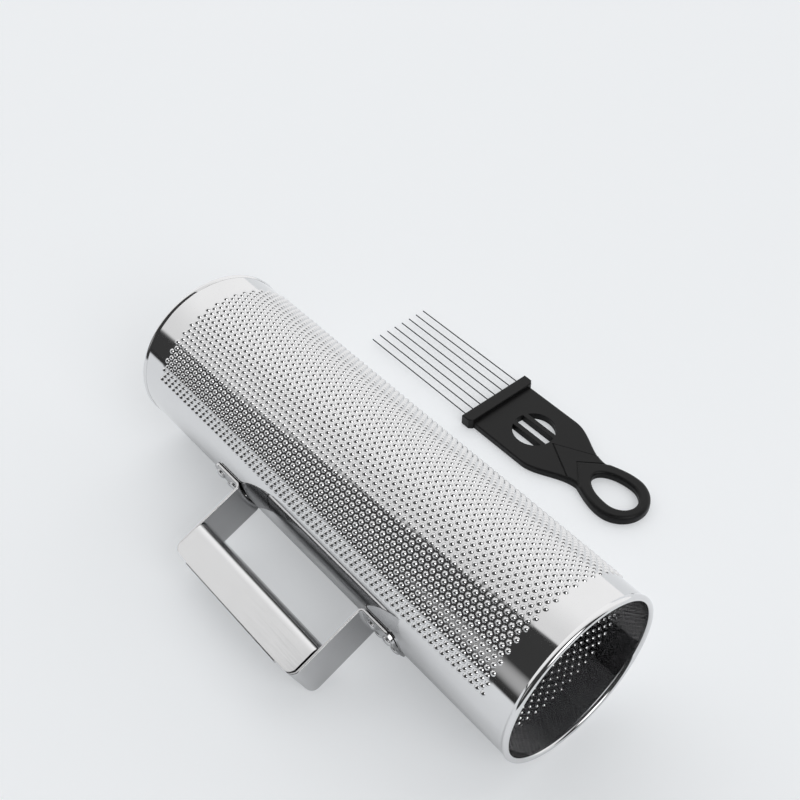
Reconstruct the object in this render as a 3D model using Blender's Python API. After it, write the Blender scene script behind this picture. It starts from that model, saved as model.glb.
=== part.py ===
"""Metal guiro: a punched steel tube with a riveted strap handle, and the pin scraper that plays it.

Metres, +Z up. The drum lies on its domes and on its grip, with its axis along X and its handle
towards -Y. The scraper lies flat beside it, with its pins along X. The origin is on the table, at the
middle of the footprint.
"""
import math

import bmesh
import bpy
from mathutils import Matrix, Vector

# Fits
GAP = 0.0003                 # clearance between pieces that seat on each other

# Drum
DRUM_LENGTH = 0.309          # over both rims
SHELL_RADIUS = 0.0501        # outside of the plain sheet
SHELL_WALL = 0.0008
DOME_HEIGHT = 0.0010
DOME_ROWS = 77               # around the tube
DOMES_PER_ROW = 69           # along the tube: the solid has a low pyramid at every second one
END_MARGIN = 0.020           # drum end to the first domes
STRIP_SIDE = 0.0205          # plain sheet on each side of the strap, measured around the tube
RIM_BEAD = 0.0034            # diameter of the rolled bead
RIM_PROUD = 0.0007           # bead outside the sheet
RIM_COVER = 0.0010           # bead's wall past the sheet's edge

# Handle
STRAP_WIDTH = 0.029
STRAP_THICK = 0.0015
HANDLE_LENGTH = 0.108        # outside of one leg to outside of the other
HANDLE_REACH = 0.0479        # tube to the strap's outer face
HANDLE_OFFSET = -0.0022      # handle's middle from the drum's middle, along the axis
FOOT_CORNER = 0.006
FOOT_BEND = 0.0018           # inside radius, foot to leg
STRAP_BEND = 0.0038          # inside radius, leg to bar
GRIP_DEPTH = 0.0215          # strap's outer face to the grip's face over the fingers
GRIP_WALL = 0.0008
GRIP_ROUND = 0.006           # outside of the grip's two long folds
GRIP_CORNER = 0.005          # corners of the grip's flat sides, at the strap's bends
GRIP_END_GAP = 0.0005        # grip's ends to the legs
LIP_INSET = 0.012            # grip's ends to the ends of its lips
LIP_WIDTH = 0.003

# Rivets
RIVET_HEAD = 0.0065
RIVET_HEAD_HEIGHT = 0.0017
RIVET_SHANK = 0.0032
RIVET_TAIL_FLANGE = 0.0009   # tail outside the shank
RIVET_TAIL_HEIGHT = 0.0012
RIVET_ACROSS = 0.0145        # between the two lines of rivets
RIVET_SPACE = 0.0062         # between heads, along a line
RIVET_LEG_CLEAR = 0.0013     # head to the foot's bend
RIVET_TIP_CLEAR = 0.0018     # head to the foot's tip

# Scraper, measured along it from the head bar's face
PIN_COUNT = 8
PIN_PITCH = 0.0065
PIN_DIAMETER = 0.0008
PIN_LENGTH = 0.0950          # outside the head bar
PIN_STOP = 0.0027            # bar left behind the pins' ends
BAR_DEPTH = 0.0082
BAR_HEIGHT = 0.0080
BAR_END = 0.0052             # outermost pin to the bar's end
WINDOW_FROM_BAR = 0.01465    # bar's back to the round window
WINDOW_DIAMETER = 0.0276
WINDOW_BAR = 0.0034          # each of the two bars across the window
WINDOW_SLOT = 0.0066         # gap between those bars
BLADE_SIDE = 0.0113          # blade on each side of the window
BLADE_THICK = 0.0050
BLADE_STRAIGHT = 0.0413      # bar's back to where the blade starts to narrow
TAPER_LENGTH = 0.0360        # from there to the neck
NECK_WIDTH = 0.0258
LOOP_LENGTH = 0.0412         # neck to the end of the loop
LOOP_WIDTH = 0.0374
LOOP_SIDE_WALL = 0.0080
LOOP_END_WALL = 0.0066
LOOP_NECK_WALL = 0.0021      # neck to the loop's hole
CHEVRON_1_LEAD = 0.0026      # window to the first chevron's point
CHEVRON_1_SWEEP = 0.0260     # its point to its ends, at the handle's edges
CHEVRON_2_LEAD = 0.0139      # the second chevron's point to the loop's hole
CHEVRON_2_SWEEP = 0.0143
CHEVRON_STEP = 0.0006        # each chevron stands this much above what is before it
CHEVRON_INSET = 0.0012       # each chevron's edge inside the one before
EDGE_CHAMFER = 0.0009
SCRAPER_CLEAR = 0.0551       # rim to the scraper's head bar, across the table
SCRAPER_X = -0.0417          # bar's face from the drum's middle, along the axis

# Facets of round shapes
RIM_SEGMENTS = 56
BEAD_SEGMENTS = 11
RIVET_SEGMENTS = 12
PIN_SEGMENTS = 8
WINDOW_SEGMENTS = 10
LOOP_SEGMENTS = 24
BEND_STEPS = 3

# Places that follow from the sizes
RIM_RADIUS = SHELL_RADIUS + RIM_PROUD
REST_RADIUS = max(RIM_RADIUS, SHELL_RADIUS + DOME_HEIGHT)
STRIP_ANGLE = 2 * (math.asin(STRAP_WIDTH / 2 / SHELL_RADIUS) + STRIP_SIDE / SHELL_RADIUS)
FOOT_INNER = SHELL_RADIUS + GAP
FOOT_OUTER = FOOT_INNER + STRAP_THICK
RIVET_NEAR_LEG = FOOT_BEND + RIVET_LEG_CLEAR + RIVET_HEAD / 2
RIVET_NEAR_TIP = RIVET_NEAR_LEG + RIVET_HEAD + RIVET_SPACE
FOOT_LENGTH = RIVET_NEAR_TIP + RIVET_HEAD / 2 + RIVET_TIP_CLEAR
RIVET_TAIL = RIVET_SHANK + 2 * RIVET_TAIL_FLANGE
STRAP_OUTER = SHELL_RADIUS + HANDLE_REACH
STRAP_INNER = STRAP_OUTER - STRAP_THICK
GRIP_HALF_WIDTH = STRAP_WIDTH / 2 + GAP + GRIP_WALL
GRIP_HALF_LENGTH = HANDLE_LENGTH / 2 - STRAP_THICK - GRIP_END_GAP
GRIP_INNER = STRAP_OUTER - GRIP_DEPTH
LIP_OUTER = STRAP_OUTER + GAP + GRIP_WALL
BAR_LENGTH = (PIN_COUNT - 1) * PIN_PITCH + 2 * BAR_END
PIN_SEAT = BAR_DEPTH - PIN_STOP - GAP
WINDOW_CENTRE = BAR_DEPTH + WINDOW_FROM_BAR + WINDOW_DIAMETER / 2
BLADE_WIDTH = WINDOW_DIAMETER + 2 * BLADE_SIDE
SHOULDER = BAR_DEPTH + BLADE_STRAIGHT
NECK = SHOULDER + TAPER_LENGTH
HANDLE_END = NECK + LOOP_LENGTH
LOOP_CENTRE = HANDLE_END - LOOP_WIDTH / 2
CHEVRON_1 = WINDOW_CENTRE + WINDOW_DIAMETER / 2 + CHEVRON_1_LEAD
CHEVRON_2 = NECK + LOOP_NECK_WALL - CHEVRON_2_LEAD
SCRAPER_Y = RIM_RADIUS + SCRAPER_CLEAR + BAR_LENGTH / 2

# The drum rolls until the grip's lower edge meets the table.
GRIP_SWING = math.hypot(LIP_OUTER, GRIP_HALF_WIDTH)
HANDLE_DROP = math.asin(REST_RADIUS / GRIP_SWING) - math.atan2(GRIP_HALF_WIDTH, LIP_OUTER)


# Helpers

def clear_scene():
    """Removes whatever the file holds."""
    for obj in list(bpy.data.objects):
        bpy.data.objects.remove(obj, do_unlink=True)


def make_material(name, colour, roughness, metallic):
    """Returns a plain Principled material."""
    material = bpy.data.materials.new(name)
    material.use_nodes = True
    shader = material.node_tree.nodes["Principled BSDF"]
    shader.inputs["Base Color"].default_value = (*colour, 1.0)
    shader.inputs["Roughness"].default_value = roughness
    shader.inputs["Metallic"].default_value = metallic
    return material


def make_empty(name, parent=None, location=(0, 0, 0), turn_x=0.0):
    """Returns an empty that carries other objects."""
    empty = bpy.data.objects.new(name, None)
    bpy.context.scene.collection.objects.link(empty)
    empty.parent = parent
    empty.location = location
    empty.rotation_euler = (turn_x, 0, 0)
    return empty


def make_object(name, bm, parent, material=None, sharp_degrees=35):
    """Turns a bmesh into a named object, shaded smooth with sharp edges kept."""
    mesh = bpy.data.meshes.new(name)
    bm.to_mesh(mesh)
    bm.free()
    mesh.shade_smooth()
    mesh.set_sharp_from_angle(angle=math.radians(sharp_degrees))
    obj = bpy.data.objects.new(name, mesh)
    bpy.context.scene.collection.objects.link(obj)
    obj.parent = parent
    if material:
        mesh.materials.append(material)
    else:
        obj.hide_render = True
        obj.display_type = "WIRE"
    return obj


def combine(obj, tool, operation):
    """Cuts a tool from an object, or joins it to the object."""
    modifier = obj.modifiers.new(tool.name, "BOOLEAN")
    modifier.operation = operation
    modifier.object = tool
    modifier.solver = "EXACT"


def loft(rings, closed=False, bm=None):
    """Joins rings of points into one closed skin: capped at both ends, or closed on itself."""
    bm = bm or bmesh.new()
    loops = [[bm.verts.new(point) for point in ring] for ring in rings]
    faces = []
    pairs = list(zip(loops, loops[1:]))
    if closed:
        pairs.append((loops[-1], loops[0]))
    else:
        faces.append(bm.faces.new(loops[0]))
        faces.append(bm.faces.new(loops[-1]))
    for first, second in pairs:
        for k in range(len(first)):
            following = (k + 1) % len(first)
            faces.append(bm.faces.new((first[k], first[following], second[following], second[k])))
    bmesh.ops.recalc_face_normals(bm, faces=faces)
    return bm


def offset_points(points, distance, closed):
    """Moves each point of a flat path to its left by a distance, with mitred corners."""
    count = len(points)
    moved = []
    for k, point in enumerate(points):
        before = points[k - 1] if closed or k > 0 else None
        after = points[(k + 1) % count] if closed or k < count - 1 else None
        normals = []
        for start, end in ((before, point), (point, after)):
            if start is not None and end is not None:
                along = (Vector(end) - Vector(start)).normalized()
                normals.append(Vector((-along.y, along.x)))
        mean = sum(normals, Vector((0, 0))).normalized()
        moved.append(Vector(point) + mean * (distance / mean.dot(normals[0])))
    return moved


def round_corners(points, radii, steps):
    """Replaces each inner corner of an open flat path by an arc."""
    path = [Vector(points[0])]
    for before, corner, after, radius in zip(points, points[1:], points[2:], radii):
        corner = Vector(corner)
        back = (Vector(before) - corner).normalized()
        ahead = (Vector(after) - corner).normalized()
        half_angle = back.angle(ahead) / 2
        centre = corner + (back + ahead).normalized() * (radius / math.sin(half_angle))
        start = corner + back * (radius / math.tan(half_angle)) - centre
        end = corner + ahead * (radius / math.tan(half_angle)) - centre
        sweep = start.angle_signed(end)
        for step in range(steps + 1):
            turned = start.copy()
            turned.rotate(Matrix.Rotation(-sweep * step / steps, 2))
            path.append(centre + turned)
    path.append(Vector(points[-1]))
    return path


def circle(radius, segments, place):
    """Returns a ring of points, each put in space by a function of its two flat coordinates."""
    angles = [math.tau * k / segments for k in range(segments)]
    return [place(radius * math.cos(a), radius * math.sin(a)) for a in angles]


def chamfered_plate(outline, bottom, top, chamfer):
    """Returns the rings of an upright plate whose outline runs anticlockwise, edges broken."""
    inner = offset_points(outline, chamfer, True)
    levels = ((bottom, inner), (bottom + chamfer, outline), (top - chamfer, outline), (top, inner))
    return [[(p[0], p[1], z) for p in ring] for z, ring in levels]


def flared_cutter(outline, bottom, top, chamfer):
    """Returns the rings of a cutter that breaks the edges of the hole it makes."""
    outer = offset_points(outline, -chamfer, True)
    levels = ((bottom - chamfer, outer), (bottom, outer), (bottom + chamfer, outline),
              (top - chamfer, outline), (top, outer), (top + chamfer, outer))
    return [[(p[0], p[1], z) for p in ring] for z, ring in levels]


# Drum

def shell_angles():
    """Returns the angles of the dome rows and of the plain strip's rows, from the handle's middle."""
    start = STRIP_ANGLE / 2
    count = DOME_ROWS - 1
    step = (math.tau - 2 * start) / count
    field = [start + step * k for k in range(-1, count + 2)]
    plain_arc = 2 * (start - step)
    plain_count = max(2, round(plain_arc / step))
    plain = [field[-1] + plain_arc * k / plain_count for k in range(1, plain_count)]
    return field, plain, plain_arc / plain_count


def slot_end():
    """Returns how far the bottom of a rim's slot lies from the drum's middle."""
    bead = RIM_BEAD / 2
    off_centre = SHELL_RADIUS + GAP - (RIM_RADIUS - bead)
    return DRUM_LENGTH / 2 - bead + math.sqrt(bead * bead - off_centre * off_centre) - RIM_COVER


def build_shell(parent, material):
    """The punched tube: a lattice of low pyramids outside, a plain bore, and a plain strip."""
    field, plain, _ = shell_angles()
    edge = slot_end() - GAP
    first = DRUM_LENGTH / 2 - END_MARGIN
    count = DOMES_PER_ROW - 1
    pitch = 2 * first / count
    xs = [-edge] + [-first + pitch * k for k in range(-1, count + 2)] + [edge]
    bm = bmesh.new()

    def point(x, radius, angle):
        return bm.verts.new((x, radius * math.cos(angle), radius * math.sin(angle)))

    outer = []
    for j, angle in enumerate(field):
        row = []
        for i, x in enumerate(xs):
            inside = 1 < i < len(xs) - 2 and 0 < j < len(field) - 1
            lift = DOME_HEIGHT if inside and (i + j) % 2 else 0.0
            row.append(point(x, SHELL_RADIUS + lift, angle))
        outer.append(row)
    strip = [[point(x, SHELL_RADIUS, angle) for x in (-edge, edge)] for angle in plain]
    bore = [[point(x, SHELL_RADIUS - SHELL_WALL, angle) for x in (-edge, edge)] for angle in field + plain]

    for j, (low, high) in enumerate(zip(outer, outer[1:])):
        for i in range(len(xs) - 1):
            corners = (low[i], low[i + 1], high[i + 1], high[i])
            turn = 1 if (i + j) % 2 else 0
            a, b, c, d = (corners[(k + turn) % 4] for k in range(4))
            bm.faces.new((a, b, c))
            bm.faces.new((a, c, d))
    for low, high in zip(strip, strip[1:]):
        bm.faces.new((low[0], low[1], high[1], high[0]))
    middle = len(xs) // 2
    for row, ends in ((outer[-1], strip[0]), (outer[0], strip[-1])):
        for i in range(len(xs) - 1):
            bm.faces.new((row[i], row[i + 1], ends[0] if i < middle else ends[1]))
        bm.faces.new((row[middle], ends[0], ends[1]))
    skin_ends = [(row[0], row[-1]) for row in outer] + [tuple(row) for row in strip]
    total = len(bore)
    for k in range(total):
        following = (k + 1) % total
        bm.faces.new((bore[k][0], bore[k][1], bore[following][1], bore[following][0]))
        for side in (0, 1):
            bm.faces.new((skin_ends[k][side], skin_ends[following][side],
                          bore[following][side], bore[k][side]))
    bmesh.ops.recalc_face_normals(bm, faces=bm.faces)
    return make_object("drum_shell", bm, parent, material, sharp_degrees=60)


def build_rim(name, side, parent, material):
    """A rolled bead hoop with a slot that takes the sheet's edge."""
    bead = RIM_BEAD / 2
    centre_r = RIM_RADIUS - bead
    centre_x = DRUM_LENGTH / 2 - bead
    slot_outer = SHELL_RADIUS + GAP
    slot_inner = SHELL_RADIUS - SHELL_WALL - GAP
    start = -math.acos((slot_outer - centre_r) / bead)
    end = math.tau - math.acos((slot_inner - centre_r) / bead)
    profile = []
    for k in range(BEAD_SEGMENTS + 1):
        angle = start + (end - start) * k / BEAD_SEGMENTS
        profile.append((centre_x + bead * math.sin(angle), centre_r + bead * math.cos(angle)))
    profile.append((slot_end(), slot_inner))
    profile.append((slot_end(), slot_outer))
    rings = []
    for k in range(RIM_SEGMENTS):
        angle = math.tau * k / RIM_SEGMENTS
        rings.append([(side * x, r * math.cos(angle), r * math.sin(angle)) for x, r in profile])
    return make_object(name, loft(rings, closed=True), parent, material)


# Handle

def strap_columns():
    """Returns places across the strap, each with how far the rounded tip draws back there."""
    half = STRAP_WIDTH / 2
    straight = half - FOOT_CORNER
    columns = [(0.0, 0.0), (straight / 2, 0.0), (straight, 0.0)]
    for k in range(1, BEND_STEPS + 1):
        angle = math.pi / 2 * k / BEND_STEPS
        columns.append((straight + FOOT_CORNER * math.sin(angle), FOOT_CORNER * (1 - math.cos(angle))))
    return [(-u, back) for u, back in reversed(columns[1:])] + columns


def build_strap(parent, material):
    """The flat band bent to a U, with feet that follow the tube."""
    leg = HANDLE_LENGTH / 2 - STRAP_THICK / 2
    tip = HANDLE_LENGTH / 2 + FOOT_LENGTH
    foot = (FOOT_INNER + FOOT_OUTER) / 2
    bar = (STRAP_INNER + STRAP_OUTER) / 2
    corners = [(tip, foot), (leg, foot), (leg, bar), (-leg, bar), (-leg, foot), (-tip, foot)]
    foot_bend = FOOT_BEND + STRAP_THICK / 2
    strap_bend = STRAP_BEND + STRAP_THICK / 2
    path = round_corners(corners, (foot_bend, strap_bend, strap_bend, foot_bend), BEND_STEPS)
    one_side = offset_points(path, STRAP_THICK / 2, False)
    other_side = offset_points(path, -STRAP_THICK / 2, False)
    outline = one_side + other_side[::-1]
    leg_top = STRAP_INNER - STRAP_BEND
    rings = []
    for u, back in strap_columns():
        ring = []
        for x, rho in outline:
            curved = min(1.0, max(0.0, (leg_top - rho) / (leg_top - FOOT_OUTER)))
            sink = curved * (rho - math.sqrt(rho * rho - u * u))
            drawn = math.copysign(back, x) if abs(x) > tip - GAP else 0.0
            ring.append((x - drawn, rho - sink, u))
        rings.append(ring)
    return make_object("handle_strap", loft(rings), parent, material)


def build_grip(parent, material):
    """The folded channel inside the U, its long lips turned over the strap's outer face."""
    middle = GRIP_HALF_WIDTH - GRIP_WALL / 2
    web = GRIP_INNER + GRIP_WALL / 2
    fold = GRIP_ROUND - GRIP_WALL / 2
    corners = [(STRAP_OUTER, middle), (web, middle), (web, -middle), (STRAP_OUTER, -middle)]
    path = round_corners(corners, (fold, fold), BEND_STEPS + 1)
    outline = offset_points(path, GRIP_WALL / 2, False) + offset_points(path, -GRIP_WALL / 2, False)[::-1]
    bm = loft([[(x, rho, u) for rho, u in outline] for x in (-GRIP_HALF_LENGTH, GRIP_HALF_LENGTH)])
    corner_edges = []
    for edge in bm.edges:
        start, end = (vert.co for vert in edge.verts)
        at_strap = min(start.y, end.y) > STRAP_OUTER - GRIP_WALL / 2
        if at_strap and abs(start.x - end.x) < GRIP_WALL / 2:
            corner_edges.append(edge)
    bmesh.ops.bevel(bm, geom=corner_edges, offset=GRIP_CORNER, segments=BEND_STEPS + 1, profile=0.5,
                    affect="EDGES")
    grip = make_object("handle_grip", bm, parent, material)
    wall_inner = GRIP_HALF_WIDTH - GRIP_WALL
    lip_inner = LIP_OUTER - GRIP_WALL
    lip_edge = GRIP_HALF_WIDTH - LIP_WIDTH
    lip_end = GRIP_HALF_LENGTH - LIP_INSET
    for side in (-1, 1):
        section = [(STRAP_INNER, wall_inner), (STRAP_INNER, GRIP_HALF_WIDTH), (LIP_OUTER, GRIP_HALF_WIDTH),
                   (LIP_OUTER, lip_edge), (lip_inner, lip_edge), (lip_inner, wall_inner)]
        rings = [[(x, rho, side * u) for rho, u in section] for x in (-lip_end, lip_end)]
        lip = make_object("lip_tool_%d" % (side + 2), loft(rings), parent)
        combine(grip, lip, "UNION")
    return grip


# Rivets

def rivet_places():
    """Returns the rivets as foot name, place along the axis and angle from the handle's middle."""
    across = math.asin(RIVET_ACROSS / 2 / FOOT_OUTER)
    places = []
    for foot, side in (("front", 1), ("rear", -1)):
        for from_leg in (RIVET_NEAR_LEG, RIVET_NEAR_TIP):
            for angle in (-across, across):
                places.append((foot, side * (HANDLE_LENGTH / 2 + from_leg) + HANDLE_OFFSET, angle))
    return places


def bore_flat():
    """Returns the distance from the axis to the flats of the bore's facets under the handle."""
    step = shell_angles()[2]
    return (SHELL_RADIUS - SHELL_WALL) * math.cos(step / 2)


def build_rivets(parent, material):
    """Rivets through the feet and the tube: formed tail inside, shank, domed head outside."""
    tail_top = bore_flat() - GAP
    head_base = FOOT_OUTER + GAP
    profile = [
        (tail_top - RIVET_TAIL_HEIGHT, RIVET_TAIL * 0.36),
        (tail_top - RIVET_TAIL_HEIGHT * 0.6, RIVET_TAIL * 0.5),
        (tail_top, RIVET_TAIL * 0.5),
        (tail_top, RIVET_SHANK * 0.5),
        (head_base, RIVET_SHANK * 0.5),
        (head_base, RIVET_HEAD * 0.5),
    ]
    for degrees in (30, 55, 78):
        rise, reach = math.sin(math.radians(degrees)), math.cos(math.radians(degrees))
        profile.append((head_base + RIVET_HEAD_HEIGHT * rise, RIVET_HEAD * 0.5 * reach))
    number = {"front": 0, "rear": 0}
    for foot, x, angle in rivet_places():
        number[foot] += 1
        rings = [circle(r, RIVET_SEGMENTS, lambda p, q, y=y: (p, y, q)) for y, r in profile]
        rivet = make_object("%s_rivet_%d" % (foot, number[foot]), loft(rings), parent, material)
        rivet.location = (x, 0, 0)
        rivet.rotation_euler = (angle, 0, 0)


def build_rivet_holes(parent, pieces):
    """Cuts the rivets' holes through the feet and the tube."""
    bottom = bore_flat() - RIVET_TAIL_HEIGHT
    top = FOOT_OUTER + RIVET_HEAD_HEIGHT
    radius = RIVET_SHANK / 2 + GAP
    bm = bmesh.new()
    for _, x, angle in rivet_places():
        turn = Matrix.Rotation(angle, 3, "X")
        rings = [circle(radius, RIVET_SEGMENTS, lambda p, q, y=y: turn @ Vector((x + p, y, q)))
                 for y in (bottom, top)]
        loft(rings, bm=bm)
    cutter = make_object("rivet_hole_tool", bm, parent)
    for piece in pieces:
        combine(piece, cutter, "DIFFERENCE")


# Scraper

def half_width(x):
    """Returns half the width of the scraper's handle at a distance from the bar's face."""
    blade, neck, loop = BLADE_WIDTH / 2, NECK_WIDTH / 2, LOOP_WIDTH / 2
    if x <= SHOULDER:
        return blade
    if x <= NECK:
        share = (x - SHOULDER) / (NECK - SHOULDER)
        return blade + (neck - blade) * (1 - math.cos(math.pi * share)) / 2
    share = (x - NECK) / (LOOP_CENTRE - NECK)
    return neck + (loop - neck) * math.sin(math.pi / 2 * share)


def handle_outline(start, inset=0.0, apex=None):
    """Returns the handle's outline, anticlockwise, from a place along it to the end of the loop."""
    stations = [SHOULDER + (NECK - SHOULDER) * k / 8 for k in range(9)]
    stations += [NECK + (LOOP_CENTRE - NECK) * k / 6 for k in range(1, 7)]
    stations = [start] + [x for x in stations if x > start + CHEVRON_INSET]
    lower = [(x, inset - half_width(x)) for x in stations]
    radius = LOOP_WIDTH / 2 - inset
    end = []
    for k in range(1, LOOP_SEGMENTS // 2):
        angle = -math.pi / 2 + math.pi * k / (LOOP_SEGMENTS // 2)
        end.append((LOOP_CENTRE + radius * math.cos(angle), radius * math.sin(angle)))
    upper = [(x, -y) for x, y in reversed(lower)]
    tail = [(apex, 0.0)] if apex is not None else []
    return lower + end + upper + tail


def loop_hole():
    """Returns the egg-shaped outline of the finger hole, anticlockwise."""
    back = HANDLE_END - LOOP_END_WALL - LOOP_CENTRE
    front = LOOP_CENTRE - NECK - LOOP_NECK_WALL
    half = LOOP_WIDTH / 2 - LOOP_SIDE_WALL
    points = []
    for k in range(LOOP_SEGMENTS):
        angle = math.tau * k / LOOP_SEGMENTS
        reach = back if math.cos(angle) > 0 else front
        points.append((LOOP_CENTRE + reach * math.cos(angle), half * math.sin(angle)))
    return points


def window_slots():
    """Returns the outlines of the three slots that two bars leave in the round window."""
    radius = WINDOW_DIAMETER / 2
    edges = (WINDOW_SLOT / 2, WINDOW_SLOT / 2 + WINDOW_BAR)
    slots = []
    low, high = math.asin(edges[1] / radius), math.pi / 2
    span = [low + (high - low) * k / WINDOW_SEGMENTS * 2 for k in range(WINDOW_SEGMENTS + 1)]
    cap = [(WINDOW_CENTRE + radius * math.cos(a), radius * math.sin(a)) for a in span]
    slots.append(cap)
    slots.append([(2 * WINDOW_CENTRE - x, -y) for x, y in cap])
    reach = math.asin(edges[0] / radius)
    span = [-reach + 2 * reach * k / 3 for k in range(4)]
    right = [(WINDOW_CENTRE + radius * math.cos(a), radius * math.sin(a)) for a in span]
    slots.append(right + [(2 * WINDOW_CENTRE - x, -y) for x, y in right])
    return slots


def pin_offsets():
    """Returns the pins' places across the head bar."""
    return [PIN_PITCH * (k - (PIN_COUNT - 1) / 2) for k in range(PIN_COUNT)]


def build_scraper_handle(parent, material):
    """The moulded handle: blade, head bar, stepped chevrons, window and finger loop."""
    blade = chamfered_plate(handle_outline(BAR_DEPTH / 2), 0.0, BLADE_THICK, EDGE_CHAMFER)
    handle = make_object("scraper_handle", loft(blade), parent, material)
    half = BAR_LENGTH / 2
    bar_outline = [(0.0, -half), (BAR_DEPTH, -half), (BAR_DEPTH, half), (0.0, half)]
    bar = chamfered_plate(bar_outline, 0.0, BAR_HEIGHT, EDGE_CHAMFER)
    combine(handle, make_object("bar_tool", loft(bar), parent), "UNION")
    top = BLADE_THICK
    chevrons = ((CHEVRON_1, CHEVRON_1_SWEEP), (CHEVRON_2, CHEVRON_2_SWEEP))
    for number, (apex, sweep) in enumerate(chevrons, 1):
        top += CHEVRON_STEP
        outline = handle_outline(apex + sweep, CHEVRON_INSET * number, apex)
        rings = [[(x, y, z) for x, y in outline] for z in (BLADE_THICK / 2, top)]
        combine(handle, make_object("chevron_tool_%d" % number, loft(rings), parent), "UNION")
    hole = flared_cutter(loop_hole(), 0.0, top, EDGE_CHAMFER)
    combine(handle, make_object("loop_tool", loft(hole), parent), "DIFFERENCE")
    bm = bmesh.new()
    for slot in window_slots():
        loft([[(x, y, z) for x, y in slot] for z in (-BLADE_THICK, 2 * BLADE_THICK)], bm=bm)
    combine(handle, make_object("window_tool", bm, parent), "DIFFERENCE")
    bm = bmesh.new()
    radius = PIN_DIAMETER / 2 + GAP
    for y in pin_offsets():
        rings = [circle(radius, PIN_SEGMENTS, lambda p, q, x=x: (x, y + p, BAR_HEIGHT / 2 + q))
                 for x in (-PIN_DIAMETER, PIN_SEAT + GAP)]
        loft(rings, bm=bm)
    combine(handle, make_object("socket_tool", bm, parent), "DIFFERENCE")
    return handle


def build_pins(parent, material):
    """Straight steel pins with rounded tips, seated in the head bar."""
    radius = PIN_DIAMETER / 2
    stations = [(-PIN_LENGTH, radius * 0.35), (-PIN_LENGTH + radius * 0.3, radius * 0.75),
                (-PIN_LENGTH + radius, radius), (PIN_SEAT, radius)]
    for number, y in enumerate(pin_offsets(), 1):
        rings = [circle(r, PIN_SEGMENTS, lambda p, q, x=x: (x, p, q)) for x, r in stations]
        pin = make_object("scraper_pin_%d" % number, loft(rings), parent, material)
        pin.location = (0, y, BAR_HEIGHT / 2)


# Assembly

def centre_footprint(root):
    """Puts the middle of the footprint over the origin."""
    bpy.context.view_layer.update()
    depsgraph = bpy.context.evaluated_depsgraph_get()
    points = []
    for obj in bpy.data.objects:
        if obj.type == "MESH" and not obj.hide_render:
            mesh = obj.evaluated_get(depsgraph).data
            points += [obj.matrix_world @ vert.co for vert in mesh.vertices]
    for axis in (0, 1):
        places = [point[axis] for point in points]
        root.location[axis] = -(min(places) + max(places)) / 2


def main():
    """Builds the drum, its handle and the scraper."""
    clear_scene()
    sheet = make_material("polished_sheet", (0.80, 0.80, 0.81), 0.10, 1.0)
    bead = make_material("polished_bead", (0.82, 0.82, 0.83), 0.08, 1.0)
    band = make_material("satin_band", (0.72, 0.72, 0.72), 0.22, 1.0)
    fold = make_material("polished_fold", (0.78, 0.78, 0.79), 0.12, 1.0)
    rivet = make_material("rivet_steel", (0.70, 0.70, 0.71), 0.25, 1.0)
    black = make_material("black_moulding", (0.016, 0.016, 0.017), 0.38, 0.0)
    wire = make_material("pin_steel", (0.30, 0.31, 0.33), 0.25, 1.0)

    root = make_empty("footprint")
    drum = make_empty("drum_frame", root, (0, 0, REST_RADIUS), math.pi + HANDLE_DROP)
    handle = make_empty("handle_frame", drum, (HANDLE_OFFSET, 0, 0))
    shell = build_shell(drum, sheet)
    build_rim("front_rim", 1, drum, bead)
    build_rim("rear_rim", -1, drum, bead)
    strap = build_strap(handle, band)
    build_grip(handle, fold)
    build_rivets(drum, rivet)
    build_rivet_holes(drum, (shell, strap))

    scraper = make_empty("scraper_frame", root, (SCRAPER_X, SCRAPER_Y, 0))
    build_scraper_handle(scraper, black)
    build_pins(scraper, wire)
    centre_footprint(root)


main()
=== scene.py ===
"""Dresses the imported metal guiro: its punched drum, its riveted handle and its pin scraper.

Metres, +Z up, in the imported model's frame: the drum's axis runs along X, its handle points to -Y and
down to the table, and the scraper lies flat on the +Y side.
"""
import logging
import math
from collections.abc import Callable, Sequence
from dataclasses import dataclass, field
from enum import Enum

import bmesh
import bpy
from mathutils import Matrix, Vector


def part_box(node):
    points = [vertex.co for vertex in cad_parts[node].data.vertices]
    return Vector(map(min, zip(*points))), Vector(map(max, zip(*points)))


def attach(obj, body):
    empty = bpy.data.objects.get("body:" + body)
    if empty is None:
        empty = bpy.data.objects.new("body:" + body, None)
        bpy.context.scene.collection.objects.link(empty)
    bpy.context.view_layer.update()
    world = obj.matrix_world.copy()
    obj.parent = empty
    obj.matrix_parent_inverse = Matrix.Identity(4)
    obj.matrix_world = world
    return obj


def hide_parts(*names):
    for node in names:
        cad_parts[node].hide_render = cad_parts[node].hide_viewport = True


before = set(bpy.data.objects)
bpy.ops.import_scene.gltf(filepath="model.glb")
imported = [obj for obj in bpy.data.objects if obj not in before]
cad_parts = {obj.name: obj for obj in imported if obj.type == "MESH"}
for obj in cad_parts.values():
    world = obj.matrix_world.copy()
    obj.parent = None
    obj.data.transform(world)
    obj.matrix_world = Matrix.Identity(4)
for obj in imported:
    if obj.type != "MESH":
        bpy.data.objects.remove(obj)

LOG = logging.getLogger("guiro")
Colour = tuple[float, float, float]
Span = tuple[float, float]
Path = list[Vector]
Rings = list[Path]
Shape = bmesh.types.BMesh
Socket = bpy.types.NodeSocket
SLIVER = 0.000005
NOISE_SPAN = (0.3, 0.7)
FASTENER_EDGE = math.radians(50)
FLAT_FACE_WEIGHT = 100


class SocketKind(Enum):
    """The kinds of input that a piece's node tree takes."""

    GEOMETRY = "NodeSocketGeometry"
    OBJECT = "NodeSocketObject"
    NUMBER = "NodeSocketFloat"
    VECTOR = "NodeSocketVector"
    FINISH = "NodeSocketMaterial"


class Tile(Enum):
    """The cells that the drum's sheet is laid out from."""

    PLAIN = 0
    DOME = 1
    HALF = 2


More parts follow.
